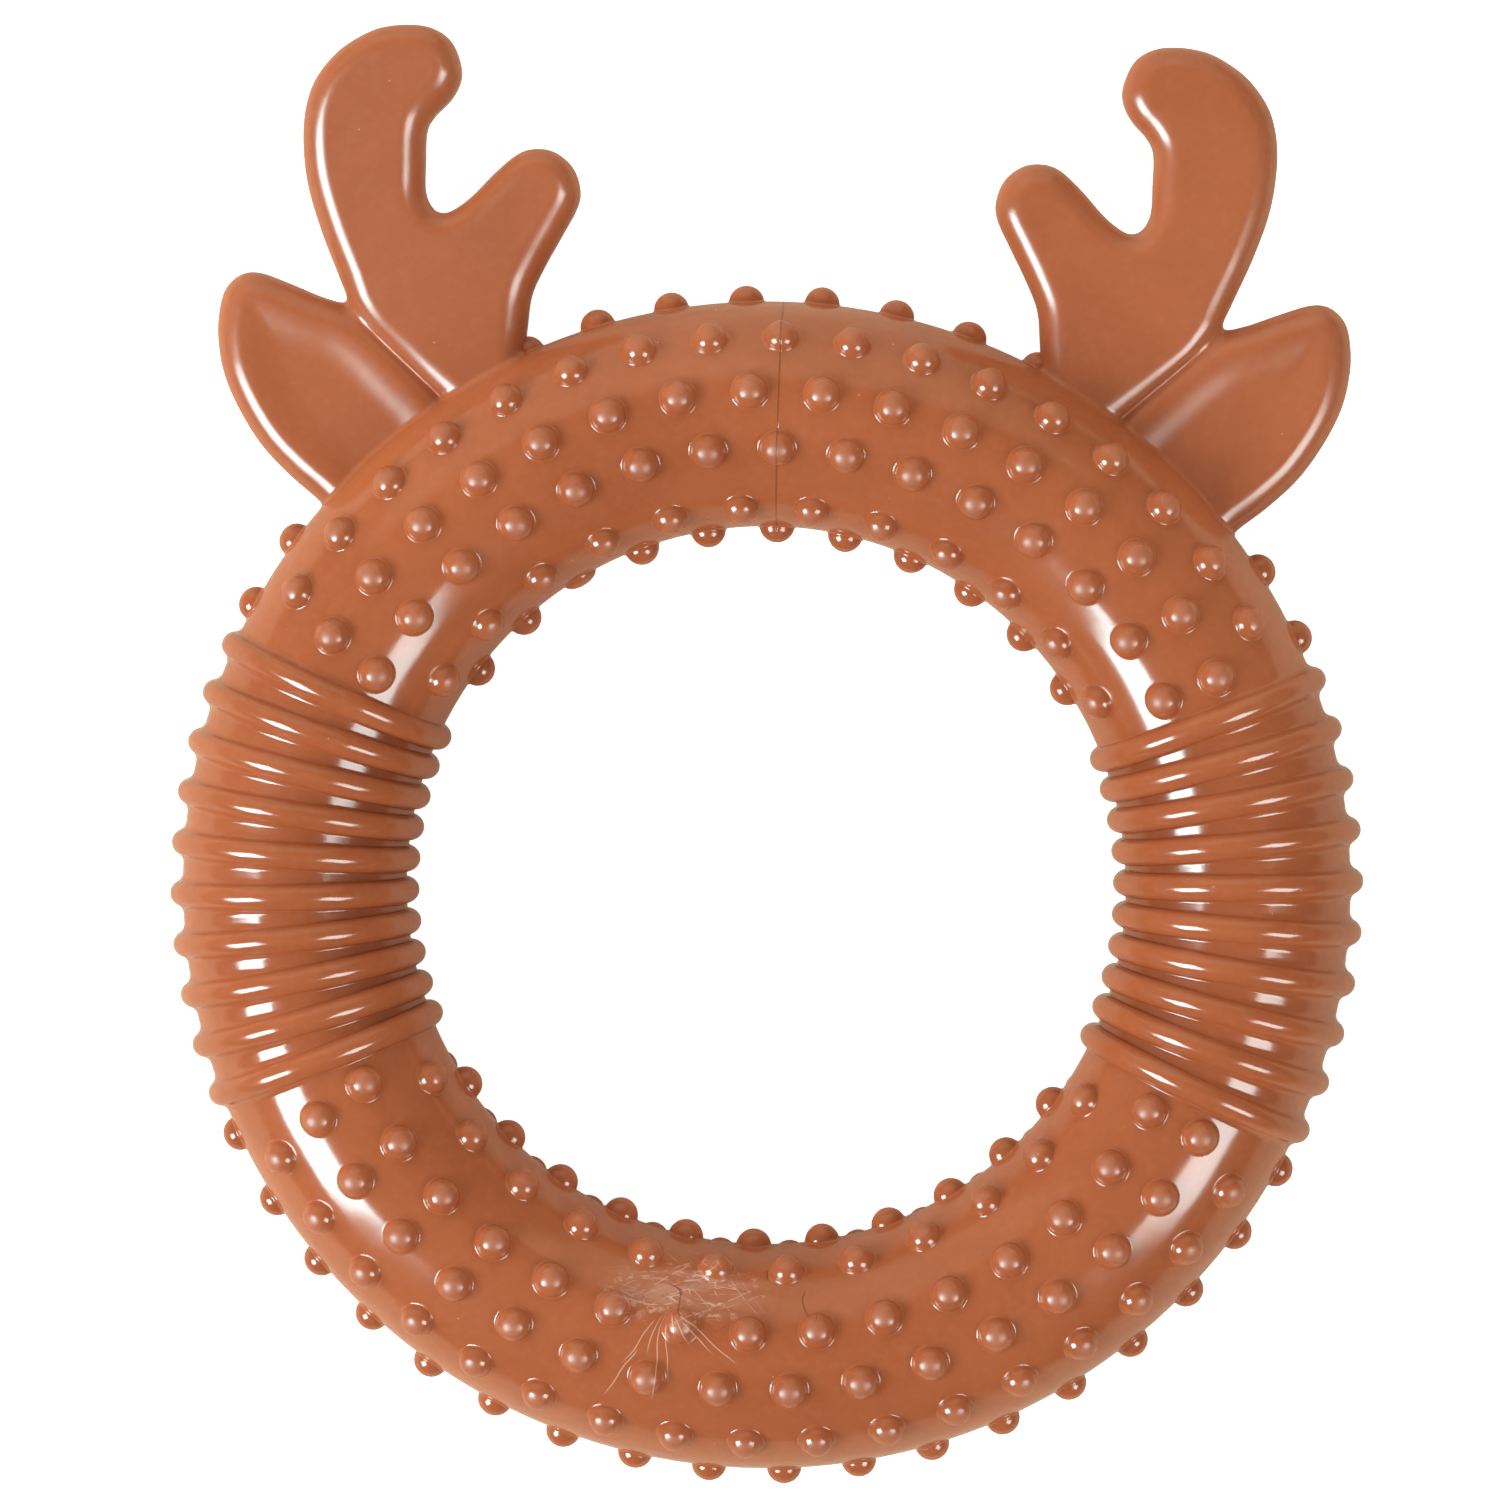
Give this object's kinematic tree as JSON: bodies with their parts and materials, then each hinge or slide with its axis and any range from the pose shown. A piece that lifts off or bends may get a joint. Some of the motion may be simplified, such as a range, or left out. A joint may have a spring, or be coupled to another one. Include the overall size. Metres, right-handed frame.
{
  "type": "rubber chew toy",
  "caption": "Solid rubber chew ring with nubbed arcs, two ribbed grips and a pair of flat antlers and dished ears on its rim.",
  "frame": {"origin": "centre of the ring's opening, on the ring's axis and in its middle plane", "axes": "+Z along the ring's axis, out of the face in the picture; +Y from the centre to between the two antlers; +X to the viewer's right"},
  "size_m": [0.1414, 0.1718, 0.0302],
  "materials": {
    "tan_rubber": "glossy moulded thermoplastic rubber, one tan-brown colour all through"
  },
  "bodies": {
    "root": {"upper_left_arc": "tan_rubber", "upper_right_arc": "tan_rubber", "lower_arc": "tan_rubber", "left_grip": "tan_rubber", "right_grip": "tan_rubber", "left_grip_ribs": "tan_rubber", "right_grip_ribs": "tan_rubber", "left_antler": "tan_rubber", "right_antler": "tan_rubber", "left_ear": "tan_rubber", "right_ear": "tan_rubber", "upper_outer_nubs": "tan_rubber", "lower_outer_nubs": "tan_rubber", "upper_front_nubs": "tan_rubber", "lower_front_nubs": "tan_rubber", "upper_inner_nubs": "tan_rubber", "lower_inner_nubs": "tan_rubber", "upper_back_nubs": "tan_rubber", "lower_back_nubs": "tan_rubber"}
  },
  "joints": []
}
